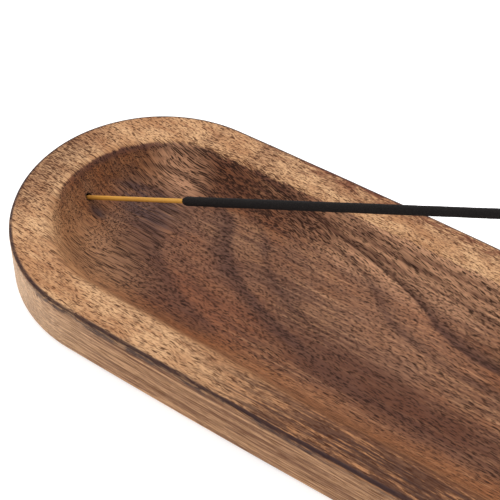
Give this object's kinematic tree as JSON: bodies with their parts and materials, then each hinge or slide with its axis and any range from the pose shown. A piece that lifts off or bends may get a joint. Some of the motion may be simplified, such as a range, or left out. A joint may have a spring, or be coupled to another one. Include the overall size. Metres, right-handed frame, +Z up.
{
  "type": "incense burner",
  "caption": "Oval carved wooden incense tray with a shallow ash hollow and an incense stick leaning over it from a slanting hole in the end wall.",
  "frame": {"origin": "under the middle of the tray, on the plane it rests on", "axes": "+Z up; +X along the tray, from the end with the stick's hole to the far end; +Y across the tray, so that with the hole on the left the viewer stands on the -Y side"},
  "size_m": [0.29, 0.088, 0.1163],
  "materials": {
    "carved_wood": "satin oiled, with golden sapwood, brown heartwood and dark pores",
    "bamboo": "dry split bamboo, dyed yellow",
    "incense_paste": null
  },
  "bodies": {
    "tray": {"tray": "carved_wood"},
    "stick": {"bamboo_core": "bamboo", "incense_coat": "incense_paste"}
  },
  "joints": [
    {"name": "stick_lift", "type": "slide", "parent": "tray", "child": "stick", "axis": [0.8829, 0, 0.4695], "range_m": [0, 0.04]}
  ]
}
